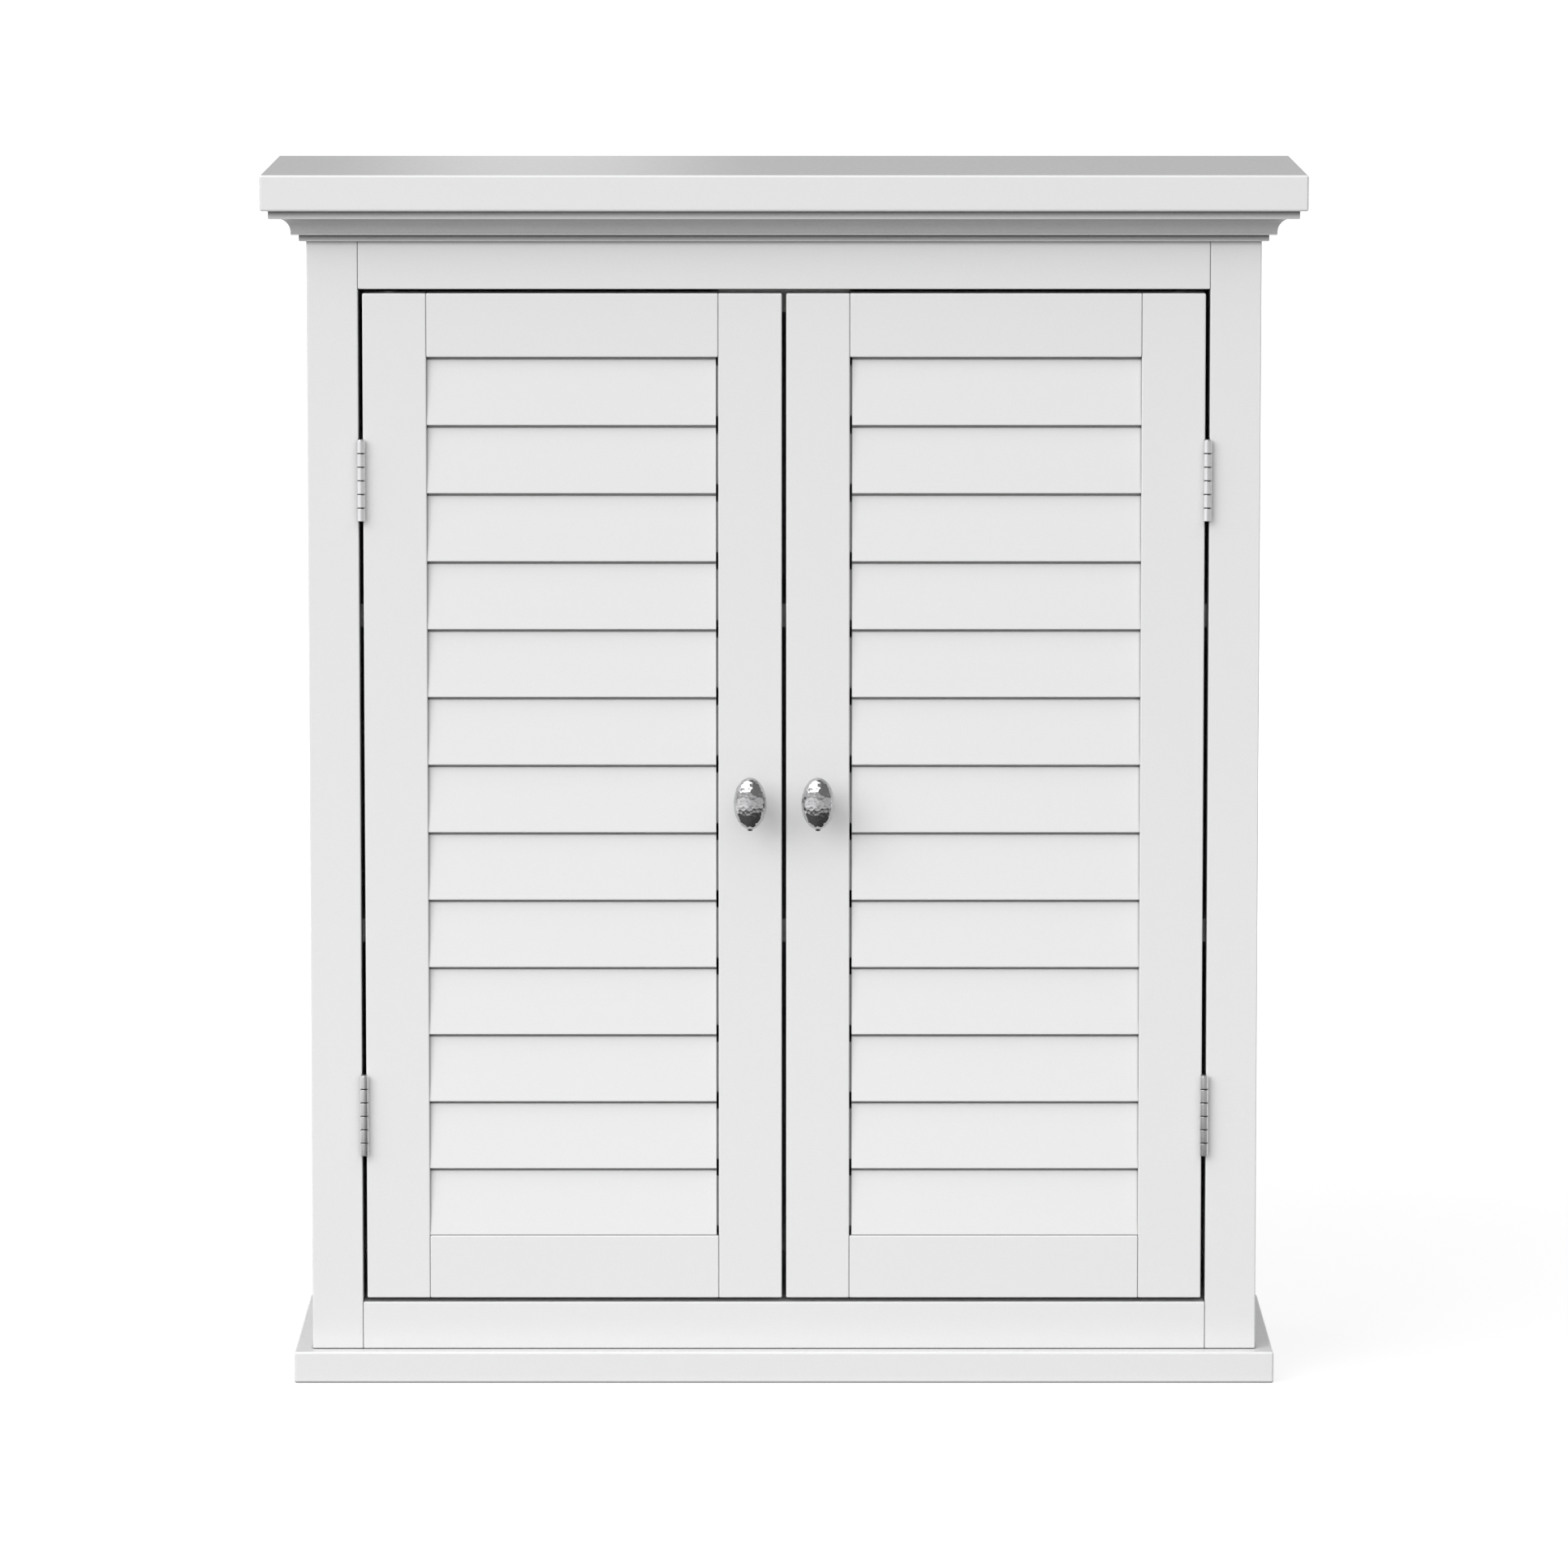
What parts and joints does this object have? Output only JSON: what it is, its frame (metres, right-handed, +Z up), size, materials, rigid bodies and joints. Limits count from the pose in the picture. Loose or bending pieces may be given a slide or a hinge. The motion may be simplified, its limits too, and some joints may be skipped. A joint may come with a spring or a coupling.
{
  "type": "louvred door cabinet",
  "caption": "White wall cabinet with paired louvred doors on butt hinges, egg-shaped knobs, shelves inside, a moulded cornice, an overhanging top and a plinth board.",
  "frame": {"origin": "middle of the base board's underside", "axes": "+X to the right as the doors are faced, +Y back towards the wall, +Z up"},
  "size_m": [0.52, 0.1808, 0.61],
  "materials": {
    "white_paint": "satin white paint on wood board",
    "hinge_nickel": "satin nickel plating",
    "screw_nickel": "nickel plating",
    "knob_chrome": "hammered, polished chrome",
    "zinc_steel": "zinc plating",
    "plated_steel": "satin plated steel",
    "cast_zinc": "as cast",
    "catch_plastic": "moulded white",
    "magnet": "dark sintered",
    "beech": "bare beech"
  },
  "bodies": {
    "cabinet": {"back_nails": "zinc_steel", "back_panel": "white_paint", "base_board": "white_paint", "base_screws": "zinc_steel", "bottom_face_rail": "white_paint", "cam_bolts": "zinc_steel", "cam_locks": "cast_zinc", "catch_block": "white_paint", "catch_housing": "catch_plastic", "catch_magnets": "magnet", "catch_screws": "zinc_steel", "face_frame_dowels": "beech", "floor_panel": "white_paint", "frame_hinge_screws": "screw_nickel", "front_cornice": "white_paint", "hanging_rail": "white_paint", "hinge_pins": "hinge_nickel", "left_cornice": "white_paint", "left_face_stile": "white_paint", "left_lower_frame_leaf": "hinge_nickel", "left_side_panel": "white_paint", "left_upper_frame_leaf": "hinge_nickel", "lower_shelf": "white_paint", "panel_dowels": "beech", "right_cornice": "white_paint", "right_face_stile": "white_paint", "right_lower_frame_leaf": "hinge_nickel", "right_side_panel": "white_paint", "right_upper_frame_leaf": "hinge_nickel", "shelf_pegs": "plated_steel", "top_board": "white_paint", "top_face_rail": "white_paint", "upper_shelf": "white_paint"},
    "left_door": {"left_door_bottom_rail": "white_paint", "left_door_hinge_screws": "screw_nickel", "left_door_hinge_stile": "white_paint", "left_door_meeting_stile": "white_paint", "left_door_slats": "white_paint", "left_door_top_rail": "white_paint", "left_knob": "knob_chrome", "left_knob_rosette": "knob_chrome", "left_knob_screw": "zinc_steel", "left_lower_door_leaf": "hinge_nickel", "left_strike_plate": "plated_steel", "left_strike_screw": "zinc_steel", "left_upper_door_leaf": "hinge_nickel"},
    "right_door": {"right_door_bottom_rail": "white_paint", "right_door_hinge_screws": "screw_nickel", "right_door_hinge_stile": "white_paint", "right_door_meeting_stile": "white_paint", "right_door_slats": "white_paint", "right_door_top_rail": "white_paint", "right_knob": "knob_chrome", "right_knob_rosette": "knob_chrome", "right_knob_screw": "zinc_steel", "right_lower_door_leaf": "hinge_nickel", "right_strike_plate": "plated_steel", "right_strike_screw": "zinc_steel", "right_upper_door_leaf": "hinge_nickel"}
  },
  "joints": [
    {"name": "left_door_hinge", "type": "hinge", "parent": "cabinet", "child": "left_door", "pos_m": [-0.2114, -0.07595, 0.296], "axis": [0, 0, -1], "range_deg": [0, 180]},
    {"name": "right_door_hinge", "type": "hinge", "parent": "cabinet", "child": "right_door", "pos_m": [0.2114, -0.07595, 0.296], "axis": [0, 0, 1], "range_deg": [0, 180]}
  ]
}
